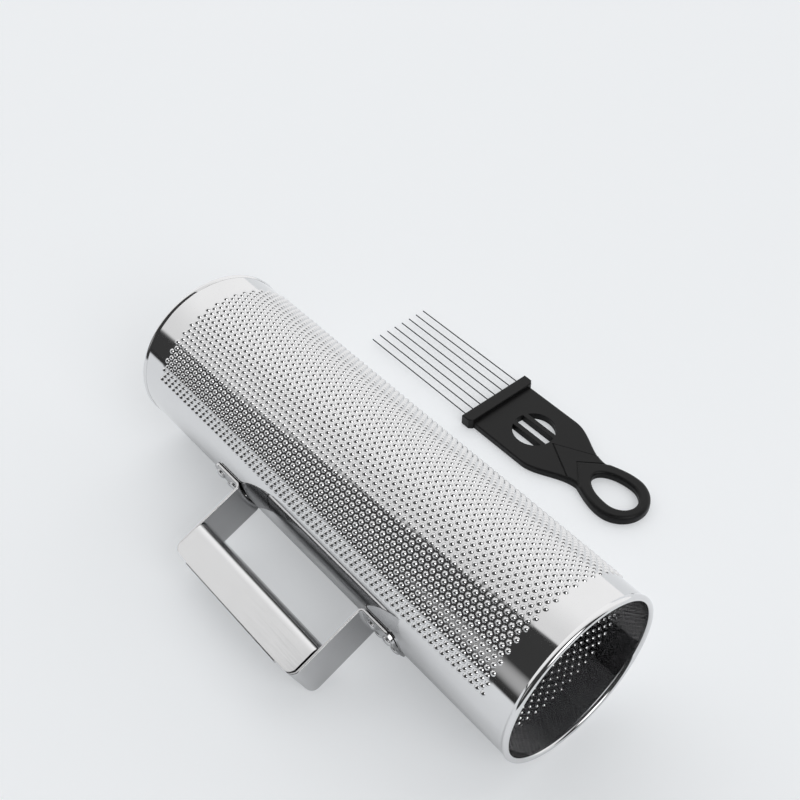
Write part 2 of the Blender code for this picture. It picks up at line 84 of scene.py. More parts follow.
class End(Enum):
    """The drum's two ends, along X."""

    FRONT = 1
    REAR = -1


class Cut(Enum):
    """How a tool shape changes a piece."""

    JOIN = "UNION"
    REMOVE = "DIFFERENCE"


class NodeGraph:
    """A node tree that is filled node by node."""

    def __init__(self, tree: bpy.types.NodeTree) -> None:
        """Keeps the tree."""
        self.tree = tree

    def feed(self, node: bpy.types.Node, inputs: dict[str | int, object]) -> None:
        """Sets a node's inputs.

        Args:
            node: The node.
            inputs: A value or another node's output for each input, by name or number.
        """
        for key, value in inputs.items():
            if isinstance(value, Socket):
                self.tree.links.new(value, node.inputs[key])
            else:
                node.inputs[key].default_value = value

    def add(self, kind: str, inputs: dict[str | int, object] | None = None,
            **settings: object) -> bpy.types.Node:
        """Adds a node.

        Args:
            kind: The node's type name.
            inputs: A value or another node's output for each input, by name or number.
            **settings: The node's own options.

        Returns:
            The new node.
        """
        node = self.tree.nodes.new(kind)
        for key, value in settings.items():
            setattr(node, key, value)
        self.feed(node, inputs or {})
        return node

    def math(self, operation: str, first: object, second: object = 0.0) -> Socket:
        """Adds a sum of two numbers or outputs and gives its result."""
        return self.add("ShaderNodeMath", {0: first, 1: second}, operation=operation).outputs[0]

    def vector(self, operation: str, first: object, second: object) -> Socket:
        """Adds a sum of two vectors or outputs and gives its result, a number for a dot product."""
        node = self.add("ShaderNodeVectorMath", {0: first, 1: second}, operation=operation)
        return node.outputs["Value" if operation == "DOT_PRODUCT" else "Vector"]

    def fade(self, value: object, span: Span, low: object, high: object,
             shape: str = "SMOOTHSTEP") -> Socket:
        """Turns a value into a step from one level to another.

        Args:
            value: What is measured.
            span: Where the step starts and ends.
            low: The level before the step.
            high: The level after it.
            shape: How the step runs between them.

        Returns:
            The level.
        """
        return self.add("ShaderNodeMapRange", {
            "Value": value, "From Min": span[0], "From Max": span[1], "To Min": low, "To Max": high},
            interpolation_type=shape).outputs[0]


class Surface(NodeGraph):
    """A material's node tree, with its shader and the place on the object."""

    def __init__(self, name: str) -> None:
        """Starts the material.

        Args:
            name: The material's name.
        """
        self.material = bpy.data.materials.new(name)
        self.material.use_nodes = True
        super().__init__(self.material.node_tree)
        self.shader = self.tree.nodes["Principled BSDF"]
        self.place = self.add("ShaderNodeTexCoord").outputs["Object"]

    def noise(self, scale: float, detail: float, place: Socket | None = None) -> Socket:
        """Adds soft noise, read at the place on the object unless another is given, and gives its level."""
        return self.add("ShaderNodeTexNoise", {
            "Vector": place or self.place, "Scale": scale, "Detail": detail}).outputs["Fac"]

    def blend(self, share: Socket, first: object, second: object) -> Socket:
        """Blends two colours or outputs by the second one's share."""
        return self.add("ShaderNodeMix", {"Factor": share, 6: first, 7: second}, data_type="RGBA").outputs[2]

    def bump(self, height: Socket, lift: float, base: Socket | None = None) -> Socket:
        """Adds a shallow relief.

        Args:
            height: The relief's level.
            lift: How high it stands.
            base: Another relief that it lies on.

        Returns:
            The normal that it gives.
        """
        inputs = {"Height": height, "Distance": lift, "Strength": 1.0}
        if base:
            inputs["Normal"] = base
        return self.add("ShaderNodeBump", inputs).outputs[0]


class PieceTree:
    """A Geometry Nodes tree with named inputs, run on an object and then taken off again."""

    def __init__(self, name: str) -> None:
        """Starts the tree.

        Args:
            name: The tree's name.
        """
        self.tree = bpy.data.node_groups.new(name, "GeometryNodeTree")
        self.graph = NodeGraph(self.tree)
        self.identifiers: dict[str, str] = {}
        self.start = self.graph.add("NodeGroupInput")
        self.end = self.graph.add("NodeGroupOutput")
        self.tree.interface.new_socket("Piece", in_out="OUTPUT", socket_type=SocketKind.GEOMETRY.value)
        self.places = self.take("Places", SocketKind.GEOMETRY)

    def take(self, name: str, kind: SocketKind) -> Socket:
        """Adds an input to the tree.

        Args:
            name: The input's name.
            kind: What it holds.

        Returns:
            The output that brings it into the tree.
        """
        socket = self.tree.interface.new_socket(name, in_out="INPUT", socket_type=kind.value)
        self.identifiers[name] = socket.identifier
        return self.start.outputs[name]

    def close(self, geometry: Socket, inside: Socket | None = None) -> None:
        """Shades the result smooth, gives it the finish and ends the tree.

        Args:
            geometry: The geometry that the tree has made.
            inside: Which faces take the inside finish, whose darker tint is painted shade, where there is
                one.
        """
        real = self.graph.add("GeometryNodeRealizeInstances", {"Geometry": geometry})
        dressed = self.graph.add("GeometryNodeSetShadeSmooth", {"Geometry": real.outputs[0]})
        chosen: dict[str, object] = {"Finish": True}
        if inside:
            chosen["Inside Finish"] = inside
        for name, faces in chosen.items():
            dressed = self.graph.add("GeometryNodeSetMaterial", {
                "Geometry": dressed.outputs[0], "Selection": faces,
                "Material": self.take(name, SocketKind.FINISH)})
        self.tree.links.new(dressed.outputs[0], self.end.inputs[0])

    def run(self, piece: bpy.types.Object, values: dict[str, object]) -> None:
        """Runs the tree on a piece and keeps the result as its plain mesh.

        Args:
            piece: An object whose mesh holds the places.
            values: The tree's inputs, by name.
        """
        modifier = piece.modifiers.new(self.tree.name, "NODES")
        modifier.node_group = self.tree
        for name, value in values.items():
            modifier[self.identifiers[name]] = value
        settle(piece)


def new_object(name: str, mesh: bpy.types.Mesh) -> bpy.types.Object:
    """Puts a mesh into the scene.

    Args:
        name: The object's name.
        mesh: Its mesh, with its place already in it.

    Returns:
        The new object, at the origin.
    """
    obj = bpy.data.objects.new(name, mesh)
    bpy.context.scene.collection.objects.link(obj)
    return obj


def settle(obj: bpy.types.Object) -> None:
    """Turns an object's modifiers into its plain mesh and removes them.

    Args:
        obj: The object to settle.
    """
    bpy.context.view_layer.update()
    depsgraph = bpy.context.evaluated_depsgraph_get()
    mesh = bpy.data.meshes.new_from_object(obj.evaluated_get(depsgraph))
    old = obj.data
    obj.modifiers.clear()
    obj.data = mesh
    mesh.name = obj.name
    bpy.data.meshes.remove(old)


def discard(obj: bpy.types.Object) -> None:
    """Removes a shape that is used up.

    Args:
        obj: The shape's object.
    """
    mesh = obj.data
    bpy.data.objects.remove(obj)
    bpy.data.meshes.remove(mesh)


def hand_over(piece: bpy.types.Object, body: str, nodes: Sequence[str]) -> None:
    """Fixes a finished piece to a body, in place of its solids.

    Args:
        piece: The finished piece.
        body: The body it rides on.
        nodes: The solids it stands for.
    """
    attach(piece, body)
    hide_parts(*nodes)
    LOG.info("%s: %d faces, for %s", piece.name, len(piece.data.polygons), ", ".join(nodes))


def evenly(first: float, last: float, steps: int) -> list[float]:
    """Divides a stretch into equal steps and gives their places, with both ends."""
    return [first + (last - first) * k / steps for k in range(steps + 1)]


def quarter(steps: int) -> list[float]:
    """Divides a quarter circle into equal angles, with both ends."""
    return evenly(0.0, math.pi / 2, steps)


def around(steps: int) -> list[float]:
    """Divides a full circle into equal angles, each given once."""
    return evenly(0.0, math.tau, steps)[:-1]


def arc(radius: float, angles: Sequence[float], centre: float = 0.0) -> Path:
    """Draws points at given angles on a flat circle whose middle lies on X."""
    return [Vector((centre + radius * math.cos(a), radius * math.sin(a))) for a in angles]


def solid(name: str, bm: Shape, place: Matrix,
          finish: bpy.types.Material | None = None) -> bpy.types.Object:
    """Turns a bmesh into an object at its place in the model.

    Args:
        name: The object's name.
        bm: Its shape, which is used up.
        place: Where the shape goes.
        finish: Its material, or none for a tool shape.

    Returns:
        The new object.
    """
    bm.transform(place)
    bmesh.ops.recalc_face_normals(bm, faces=bm.faces)
    if bm.calc_volume(signed=True) < 0:
        bmesh.ops.reverse_faces(bm, faces=bm.faces)
    mesh = bpy.data.meshes.new(name)
    bm.to_mesh(mesh)
    bm.free()
    mesh.shade_smooth()
    if finish:
        mesh.materials.append(finish)
    return new_object(name, mesh)


def tool(place: Matrix, *skins: Sequence[Path]) -> bpy.types.Object:
    """Makes a tool shape.

    Args:
        place: Where it goes.
        *skins: The rings of each closed skin that it has.

    Returns:
        The tool shape.
    """
    bm = bmesh.new()
    for rings in skins:
        loft(rings, bm=bm)
    return solid("tool", bm, place)


def combine(obj: bpy.types.Object, tools: Sequence[tuple[bpy.types.Object, Cut]]) -> None:
    """Joins tool shapes to a piece or cuts them from it, one after another, and clears slivers.

    Args:
        obj: The piece.
        tools: The tool shapes, which are used up, each with what it does.
    """
    for shape, cut in tools:
        modifier = obj.modifiers.new(shape.name, "BOOLEAN")
        modifier.operation = cut.value
        modifier.object = shape
        modifier.solver = "EXACT"
    settle(obj)
    bm = bmesh.new()
    bm.from_mesh(obj.data)
    bmesh.ops.remove_doubles(bm, verts=bm.verts, dist=SLIVER)
    bmesh.ops.dissolve_degenerate(bm, edges=bm.edges, dist=SLIVER)
    bmesh.ops.delete(bm, geom=[edge for edge in bm.edges if not edge.link_faces], context="EDGES")
    bm.to_mesh(obj.data)
    bm.free()
    for shape, _ in tools:
        discard(shape)


def crisp(obj: bpy.types.Object, angle: float) -> None:
    """Keeps flat faces flat and edges sharp under smooth shading.

    Args:
        obj: The piece.
        angle: The angle past which an edge is sharp.
    """
    obj.data.shade_smooth()
    obj.data.set_sharp_from_angle(angle=angle)
    modifier = obj.modifiers.new("flat_faces", "WEIGHTED_NORMAL")
    modifier.keep_sharp = True
    modifier.weight = FLAT_FACE_WEIGHT
    settle(obj)


def loft(rings: Sequence[Sequence[Vector]], closed: bool = False, tips: Sequence[Vector] = (),
         bm: Shape | None = None) -> Shape:
    """Joins rings of points into one closed skin.

    Args:
        rings: Rings of equal length.
        closed: True where the last ring joins the first.
        tips: A point beyond each end, or none where both ends get a flat cap.
        bm: A shape to add to.

    Returns:
        The shape.
    """
    bm = bm or bmesh.new()
    loops = [[bm.verts.new(point) for point in ring] for ring in rings]
    pairs = list(zip(loops, loops[1:]))
    ends = (loops[0], loops[-1])
    if closed:
        pairs.append((loops[-1], loops[0]))
    elif tips:
        for ring, tip in zip(ends, tips):
            point = bm.verts.new(tip)
            for k, corner in enumerate(ring):
                bm.faces.new((corner, ring[(k + 1) % len(ring)], point))
    else:
        for ring in ends:
            bm.faces.new(ring)
    for first, second in pairs:
        for k, corner in enumerate(first):
            following = (k + 1) % len(first)
            bm.faces.new((corner, first[following], second[following], second[k]))
    bmesh.ops.recalc_face_normals(bm, faces=bm.faces)
    return bm


def lathe(profile: Sequence[Span], segments: int, place: Callable[[float, float, float], Vector]) -> Shape:
    """Turns a profile about an axis, with a point at each end.

    Args:
        profile: Places along the axis with the radius at each, the first and last being tips.
        segments: Facets around.
        place: Puts a place along the axis and two places across it into space.

    Returns:
        The turned shape.
    """
    rings = [[place(along, radius * math.cos(a), radius * math.sin(a)) for a in around(segments)]
             for along, radius in profile[1:-1]]
    return loft(rings, tips=[place(along, 0.0, 0.0) for along, _ in (profile[0], profile[-1])])


def shift_path(points: Path, distances: Sequence[float], closed: bool) -> Path:
    """Moves each point of a flat path to its left, with mitred corners.

    Args:
        points: The path.
        distances: How far each point moves.
        closed: True where the path's end joins its start.

    Returns:
        The moved path.
    """
    count = len(points)
    moved = []
    for k, point in enumerate(points):
        normals = []
        for start, end in ((k - 1, k), (k, k + 1)):
            if closed or (start >= 0 and end < count):
                along = (points[end % count] - points[start]).normalized()
                normals.append(Vector((-along.y, along.x)))
        mean = sum(normals, Vector((0.0, 0.0))).normalized()
        moved.append(point + mean * (distances[k] / mean.dot(normals[0])))
    return moved


def band(path: Path, half: float) -> Path:
    """Draws the outline of a band along an open flat path, from half its thickness."""
    left, right = (shift_path(path, [side * half] * len(path), False) for side in (1, -1))
    return left + right[::-1]


def round_corners(points: Path, radii: Sequence[float], steps: int) -> Path:
    """Replaces each inner corner of an open flat path by an arc.

    Args:
        points: The path's corners.
        radii: The radius at each inner corner.
        steps: Facets in each arc.

    Returns:
        The rounded path.
    """
    path = [points[0]]
    for before, corner, after, radius in zip(points, points[1:], points[2:], radii):
        back, ahead = (before - corner).normalized(), (after - corner).normalized()
        half_angle = back.angle(ahead) / 2
        centre = corner + (back + ahead).normalized() * (radius / math.sin(half_angle))
        start = corner + back * (radius / math.tan(half_angle)) - centre
        end = corner + ahead * (radius / math.tan(half_angle)) - centre
        sweep = start.angle_signed(end)
        for step in range(steps + 1):
            path.append(centre + Matrix.Rotation(-sweep * step / steps, 2) @ start)
    path.append(points[-1])
    return path


def rounded_plate(outline: Path, bottom: float, top: float, low_round: float,
                  top_rounds: Sequence[float], steps: int = 5, side: int = 1) -> Rings:
    """Lays out an upright plate with rounded edges.

    Args:
        outline: The plate's outline, anticlockwise.
        bottom: Height of its lower face.
        top: Height of its upper face.
        low_round: Radius of its lower edge.
        top_rounds: Radius of its upper edge at each point of the outline.
        steps: Facets in each rounding.
        side: 1 where the faces draw in to their edges, -1 where they flare out.

    Returns:
        The plate's rings, from the lower face to the upper.
    """
    rings = []
    for turn in quarter(steps):
        ring = shift_path(outline, [side * low_round * (1 - math.sin(turn))] * len(outline), True)
        rings.append([Vector((p.x, p.y, bottom + low_round * (1 - math.cos(turn)))) for p in ring])
    for turn in quarter(steps):
        ring = shift_path(outline, [side * r * (1 - math.cos(turn)) for r in top_rounds], True)
        rings.append([Vector((p.x, p.y, top - r * (1 - math.sin(turn)))) for p, r in zip(ring, top_rounds)])
    return rings


def rounded_hole(outline: Path, bottom: float, top: float, edge: float, steps: int = 5) -> Rings:
    """Lays out a cutter that rounds both edges of the hole it makes.

    Args:
        outline: The hole's outline, anticlockwise.
        bottom: Height of the plate's lower face.
        top: Height of its upper face.
        edge: Radius of the rounded edges.
        steps: Facets in each rounding.

    Returns:
        The cutter's rings, from below to above.
    """
    rings = rounded_plate(outline, bottom, top, edge, [edge] * len(outline), steps, -1)
    below, above = ([p + Vector((0.0, 0.0, lift)) for p in ring]
                    for ring, lift in ((rings[0], -edge), (rings[-1], edge)))
    return [below, *rings, above]


def shade(tint: Colour, share: float = 1.0) -> tuple[float, float, float, float]:
    """Gives a tint, or a share of its brightness, as a node's colour."""
    return (*(share * part for part in tint), 1.0)


@dataclass(frozen=True)
class PolishedSteel:
    """Bright steel: slow waves in the sheet, fine polishing lines and a little haze."""

    name: str
    tint: Colour
    haze: Span
    wave_size: float
    wave_lift: float
    lines: Colour
    line_lift: float
    line_detail: float = 3.0
    wave_detail: float = 1.0
    cloud_scale: float = 90.0
    cloud_detail: float = 4.0
    cloud_shade: float = 0.95

    def material(self) -> bpy.types.Material:
        """Makes the finish.

        Returns:
            The new material.
        """
        surface = Surface(self.name)
        cloud = surface.noise(self.cloud_scale, self.cloud_detail)
        along = surface.add("ShaderNodeMapping", {"Vector": surface.place, "Scale": self.lines})
        line = surface.noise(1.0, self.line_detail, along.outputs[0])
        slow = surface.bump(surface.noise(1 / self.wave_size, self.wave_detail), self.wave_lift)
        surface.feed(surface.shader, {
            "Metallic": 1.0,
            "Base Color": surface.blend(cloud, shade(self.tint, self.cloud_shade), shade(self.tint)),
            "Roughness": surface.fade(line, NOISE_SPAN, *self.haze, "LINEAR"),
            "Normal": surface.bump(line, self.line_lift, slow)})
        return surface.material


@dataclass(frozen=True)
class MouldedPlastic:
    """Black moulded plastic: a fine satin grain and slow flow marks."""

    name: str
    tint: Colour
    haze: Span
    grain_size: float
    grain_lift: float
    gloss: float
    grain_detail: float = 2.0
    flow_scale: float = 70.0
    flow_detail: float = 3.0
    flow_shades: Span = (0.8, 1.2)

    def material(self) -> bpy.types.Material:
        """Makes the finish.

        Returns:
            The new material.
        """
        surface = Surface(self.name)
        flow = surface.noise(self.flow_scale, self.flow_detail)
        grain = surface.noise(1 / self.grain_size, self.grain_detail)
        surface.feed(surface.shader, {
            "Specular IOR Level": self.gloss,
            "Base Color": surface.blend(flow, *(shade(self.tint, share) for share in self.flow_shades)),
            "Roughness": surface.fade(flow, NOISE_SPAN, *self.haze, "LINEAR"),
            "Normal": surface.bump(grain, self.grain_lift)})
        return surface.material


SHEET_FINISH = PolishedSteel("polished_sheet", (0.72, 0.72, 0.725), (0.04, 0.08), 0.030, 0.00005,
                             (60.0, 900.0, 900.0), 0.000002)
# The tube's inside is the same polished steel as its outside; the inside finish's darker tint is painted
# shade.
INSIDE_PAINTED_SHADE = PolishedSteel("dull_inside", (0.52, 0.52, 0.525), (0.06, 0.12), 0.030, 0.00003,
                              (60.0, 900.0, 900.0), 0.000002)
RIM_FINISH = PolishedSteel("polished_bead", (0.74, 0.74, 0.745), (0.05, 0.10), 0.020, 0.00002,
                           (900.0, 60.0, 60.0), 0.000002)
STRAP_FINISH = PolishedSteel("satin_band", (0.66, 0.66, 0.665), (0.12, 0.22), 0.025, 0.00002,
                             (40.0, 1500.0, 1500.0), 0.000003)
GRIP_FINISH = PolishedSteel("polished_fold", (0.74, 0.74, 0.745), (0.08, 0.15), 0.030, 0.00003,
                            (40.0, 1200.0, 1200.0), 0.000003)
RIVET_FINISH = PolishedSteel("rivet_steel", (0.66, 0.66, 0.665), (0.14, 0.26), 0.004, 0.00003,
                             (700.0, 700.0, 700.0), 0.000004)
PIN_FINISH = PolishedSteel("pin_steel", (0.045, 0.046, 0.049), (0.16, 0.30), 0.010, 0.000005,
                           (80.0, 2500.0, 2500.0), 0.000003)
BLACK_FINISH = MouldedPlastic("black_moulding", (0.0080, 0.0080, 0.0082), (0.30, 0.42), 0.0005, 0.00002, 0.2)


def axis_middle(node: str) -> Vector:
    """Finds the middle of the drum's axis from one of its two rims."""
    low, high = (Vector(corner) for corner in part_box(node))
    return Vector((0.0, (low.y + high.y) / 2, (low.z + high.z) / 2))


@dataclass(frozen=True)
class DrumSeat:
    """Where the drum lies: its axis, and how far its handle has dropped to the table."""

    rest_radius: float = 0.0511
    lip_outer: float = 0.0991
    grip_half_width: float = 0.0156
    centre: Vector = field(default_factory=lambda: axis_middle("front_rim"))

    @property
    def handle_turn(self) -> float:
        """The handle's direction, as an angle from +Y over the top."""
        swing = math.hypot(self.lip_outer, self.grip_half_width)
        drop = math.asin(self.rest_radius / swing) - math.atan2(self.grip_half_width, self.lip_outer)
        return math.pi + drop

    def matrix(self, along: float = 0.0) -> Matrix:
        """Gives the drum's own frame, whose Y points along the handle, at a shift along the axis."""
        centre = self.centre + Vector((along, 0.0, 0.0))
        return Matrix.Translation(centre) @ Matrix.Rotation(self.handle_turn, 4, "X")


@dataclass(frozen=True)
class DrumSheet:
    """The rolled sheet, punched with domes in staggered rows and plain at its ends and under the handle."""

    seat: DrumSeat
    radius: float = 0.0501
    wall: float = 0.0008
    rows: int = 98
    columns: int = 77
    plain_rows: int = 10
    domes_each_way: int = 34
    dome_radius: float = 0.00157
    dome_height: float = 0.0010
    pit_radius: float = 0.0013
    pit_height: float = 0.0010
    weld: float = 0.00002
    bands: int = 5
    sharp_edge: float = math.radians(32)
    half_length: float = field(default_factory=lambda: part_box("drum_shell")[1][0])

    @property
    def pitch(self) -> float:
        """From dome to dome along a row."""
        return 2 * self.half_length / self.columns

    @property
    def row_pitch(self) -> float:
        """From row to row around the tube."""
        return math.tau * self.radius / self.rows

    @property
    def dome(self) -> list[Span]:
        """The radius and the height of each ring of a round dome, from its foot up."""
        ball = (self.dome_radius ** 2 + self.dome_height ** 2) / (2 * self.dome_height)
        reach = math.asin(self.dome_radius / ball)
        turns = [reach * share for share in (1, 2 / 3, 1 / 3)]
        return [(ball * math.sin(t), ball * (math.cos(t) - math.cos(reach))) for t in turns]

    @property
    def pit(self) -> list[Span]:
        """The radius and the height of each ring of a bowl-shaped pit, from the sheet up."""
        return [(self.pit_radius * share, self.pit_height * (1 - share * share)) for share in (1, 2 / 3)]

    def tile(self, kind: Tile) -> bpy.types.Object:
        """Makes one cell of the flat sheet, outer face up, with its inner face below.

        Args:
            kind: Plain, with a dome and its pit, or the half cell at a row's end.

        Returns:
            The cell, as a tool object.
        """
        half_x = self.pitch / (4 if kind is Tile.HALF else 2)
        half_y = self.row_pitch / 2
        across = (1, 0) if kind is Tile.HALF else (1, 0.5, 0, -0.5)
        edge = [(1, 0)] + [(x, 1) for x in across] + [(-1, 1), (-1, 0)]
        edge += [(-x, -1) for x in across] + [(1, -1)]
        count = len(edge)
        bm = bmesh.new()
        outer, inner = (0.0, self.dome, self.dome_height), (-self.wall, self.pit, self.pit_height)
        for level, rings, tip in (outer, inner):
            if kind is not Tile.DOME:
                rings, tip = [], 0.0
            loops = [[bm.verts.new((x * half_x, y * half_y, level)) for x, y in edge]]
            for radius, lift in rings:
                loops.append([bm.verts.new((p.x, p.y, level + lift)) for p in arc(radius, around(count))])
            apex = bm.verts.new((0.0, 0.0, level + tip))
            for k in range(count):
                n = (k + 1) % count
                faces = [(low[k], low[n], high[n], high[k]) for low, high in zip(loops, loops[1:])]
                for face in (*faces, (loops[-1][k], loops[-1][n], apex)):
                    bm.faces.new(face if level == 0.0 else face[::-1])
        mesh = bpy.data.meshes.new("tile_%s" % kind.name.lower())
        bm.to_mesh(mesh)
        bm.free()
        return new_object(mesh.name, mesh)

    def cells(self) -> list[tuple[int, float, Tile]]:
        """Lays out the sheet's cells, every other row shifted by half a cell.

        Returns:
            Each cell's row from the handle's middle, its place along the axis and its kind.
        """
        half_columns = self.columns // 2
        found = []
        for row in range(self.rows):
            domed = self.plain_rows < row < self.rows - self.plain_rows
            whole = row % 2
            for k in range(-half_columns, half_columns + whole):
                place = k if whole else k + 0.5
                kind = Tile.DOME if domed and abs(place) <= self.domes_each_way else Tile.PLAIN
                found.append((row, place * self.pitch, kind))
            for side in () if whole else (-1, 1):
                found.append((row, side * (half_columns + 0.25) * self.pitch, Tile.HALF))
        return found

    def tree(self) -> PieceTree:
        """Builds the tree that sets tiles on cells, closes the sheet's edges and rolls it into a tube.

        Returns:
            The tree.
        """
        piece = PieceTree("punched_sheet")
        graph = piece.graph
        tiles = {kind: piece.take("%s Tile" % kind.name.title(), SocketKind.OBJECT) for kind in Tile}
        radius, wall, seam, start, weld = (piece.take(name, SocketKind.NUMBER) for name in (
            "Sheet Radius", "Sheet Wall", "Seam", "Handle Turn", "Weld"))
        centre = piece.take("Centre", SocketKind.VECTOR)

        def welded(node: bpy.types.Node) -> bpy.types.Node:
            """Joins the corners that meet."""
            return graph.add("GeometryNodeMergeByDistance", {"Geometry": node.outputs[0], "Distance": weld})

        kind_of = graph.add("GeometryNodeInputNamedAttribute", {"Name": "tile_kind"}, data_type="INT")
        joined = graph.add("GeometryNodeJoinGeometry")
        for kind in Tile:
            info = graph.add("GeometryNodeObjectInfo", {"Object": tiles[kind]})
            chosen = graph.add("FunctionNodeCompare", {2: kind_of.outputs["Attribute"], 3: kind.value},
                               data_type="INT", operation="EQUAL")
            cells = graph.add("GeometryNodeInstanceOnPoints", {
                "Points": piece.places, "Selection": chosen.outputs[0],
                "Instance": info.outputs["Geometry"]})
            real = graph.add("GeometryNodeRealizeInstances", {"Geometry": cells.outputs[0]})
            graph.tree.links.new(real.outputs[0], joined.inputs[0])
        spot = graph.add("GeometryNodeInputPosition").outputs[0]
        x, arc_length, lift = graph.add("ShaderNodeSeparateXYZ", {0: spot}).outputs
        faces = graph.add("GeometryNodeInputMeshEdgeNeighbors").outputs["Face Count"]
        on_edge = graph.math("LESS_THAN", faces, 1.5)
        outside = graph.math("GREATER_THAN", lift, graph.math("MULTIPLY", wall, -0.5))
        from_seam = graph.math("ABSOLUTE", graph.math("SUBTRACT", arc_length, seam))
        half_round = graph.math("MULTIPLY", radius, math.pi)
        off_seam = graph.math("LESS_THAN", from_seam, graph.math("SUBTRACT", half_round, weld))
        edges = graph.math("MULTIPLY", graph.math("MULTIPLY", on_edge, outside), off_seam)
        down = graph.add("ShaderNodeCombineXYZ", {"Z": graph.math("MULTIPLY", wall, -1.0)})
        walled = graph.add("GeometryNodeExtrudeMesh", {
            "Mesh": welded(joined).outputs[0], "Selection": edges, "Offset": down.outputs[0]}, mode="EDGES")
        angle = graph.math("SUBTRACT", start, graph.math("DIVIDE", arc_length, radius))
        reach = graph.math("ADD", radius, lift)
        rolled = graph.add("ShaderNodeCombineXYZ", {
            "X": x, "Y": graph.math("MULTIPLY", reach, graph.math("COSINE", angle)),
            "Z": graph.math("MULTIPLY", reach, graph.math("SINE", angle))})
        placed = graph.vector("ADD", rolled.outputs[0], centre)
        tube = graph.add("GeometryNodeSetPosition", {
            "Geometry": welded(walled).outputs[0], "Position": placed})
        # Faces that look into the tube take the inside finish, whose darker tint is painted shade.
        across = graph.vector("MULTIPLY", graph.vector("SUBTRACT", spot, centre), (0.0, 1.0, 1.0))
        normal = graph.add("GeometryNodeInputNormal").outputs[0]
        facing = graph.vector("DOT_PRODUCT", across, normal)
        piece.close(welded(tube).outputs[0], graph.math("LESS_THAN", facing, 0.0))
        return piece

    def build(self) -> list[bpy.types.Object]:
        """Builds the sheet: its plain part in one piece, its domes in bands.

        Returns:
            The pieces.
        """
        tree = self.tree()
        tiles = {kind: self.tile(kind) for kind in Tile}
        values: dict[str, object] = {"%s Tile" % kind.name.title(): tile for kind, tile in tiles.items()}
        values |= {"Sheet Radius": self.radius, "Sheet Wall": self.wall, "Weld": self.weld,
                   "Seam": (self.rows - 1) / 2 * self.row_pitch, "Handle Turn": self.seat.handle_turn,
                   "Centre": tuple(self.seat.centre), "Finish": SHEET_FINISH.material(),
                   "Inside Finish": INSIDE_PAINTED_SHADE.material()}
        domed = self.rows - 2 * self.plain_rows - 1
        groups: dict[str, list[tuple[int, float, Tile]]] = {"drum_plain_sheet": []}
        for row, x, kind in self.cells():
            name = "drum_plain_sheet"
            if kind is Tile.DOME:
                name = "drum_dome_band_%d" % (1 + (row - self.plain_rows - 1) * self.bands // domed)
            groups.setdefault(name, []).append((row, x, kind))
        pieces = []
        for name, cells in groups.items():
            mesh = bpy.data.meshes.new(name)
            mesh.from_pydata([(x, row * self.row_pitch, 0.0) for row, x, _ in cells], [], [])
            kinds = mesh.attributes.new("tile_kind", "INT", "POINT")
            kinds.data.foreach_set("value", [kind.value for _, _, kind in cells])
            piece = new_object(name, mesh)
            tree.run(piece, values)
            piece.data.set_sharp_from_angle(angle=self.sharp_edge)
            pieces.append(piece)
        for tile in tiles.values():
            discard(tile)
        return pieces

    def dress(self) -> None:
        """Builds the sheet and puts it in the shell's place."""
        for piece in self.build():
            hand_over(piece, "drum", ["drum_shell"])


@dataclass(frozen=True)
class Rim:
    """A rolled bead hoop over one end of the sheet."""

    seat: DrumSeat
    end: End
    drum_length: float = 0.309
    outer_radius: float = 0.0508
    bead: float = 0.0034
    slot_outer: float = 0.05012
    slot_inner: float = 0.04928
    cover: float = 0.0010
    lip_slope: float = math.radians(25)
    lip_edge: float = 0.00005
    segments: int = 160
    bead_steps: int = 36
    sharp_edge: float = math.radians(40)

    def profile(self) -> list[Span]:
        """Draws the hoop's section: a sloped lip, the round bead and the slot over the sheet's edge.

        Returns:
            The section's points, each a place along the axis and a radius.
        """
        half = self.bead / 2
        ring_radius = self.outer_radius - half
        ring_x = self.drum_length / 2 - half
        off_centre = self.slot_outer - ring_radius
        slot_end = ring_x + math.sqrt(half * half - off_centre * off_centre) - self.cover
        stop = math.tau - math.acos((self.slot_inner - ring_radius) / half)
        bead = [(ring_x + half * math.sin(turn), ring_radius + half * math.cos(turn))
                for turn in evenly(-self.lip_slope, stop, self.bead_steps)]
        foot = self.slot_outer + self.lip_edge
        lip = bead[0][0] - (bead[0][1] - foot) / math.tan(self.lip_slope)
        return [(lip, self.slot_outer), (lip, foot), *bead, (slot_end, self.slot_inner),
                (slot_end, self.slot_outer)]

    def dress(self) -> None:
        """Builds the hoop and puts it in the rim's place."""
        profile = self.profile()
        rings = [[Vector((self.end.value * x, r * math.cos(turn), r * math.sin(turn))) for x, r in profile]
                 for turn in around(self.segments)]
        name = "%s_rim" % self.end.name.lower()
        piece = solid("%s_bead" % name, loft(rings, closed=True), self.seat.matrix(), RIM_FINISH.material())
        piece.data.set_sharp_from_angle(angle=self.sharp_edge)
        hand_over(piece, "drum", [name])


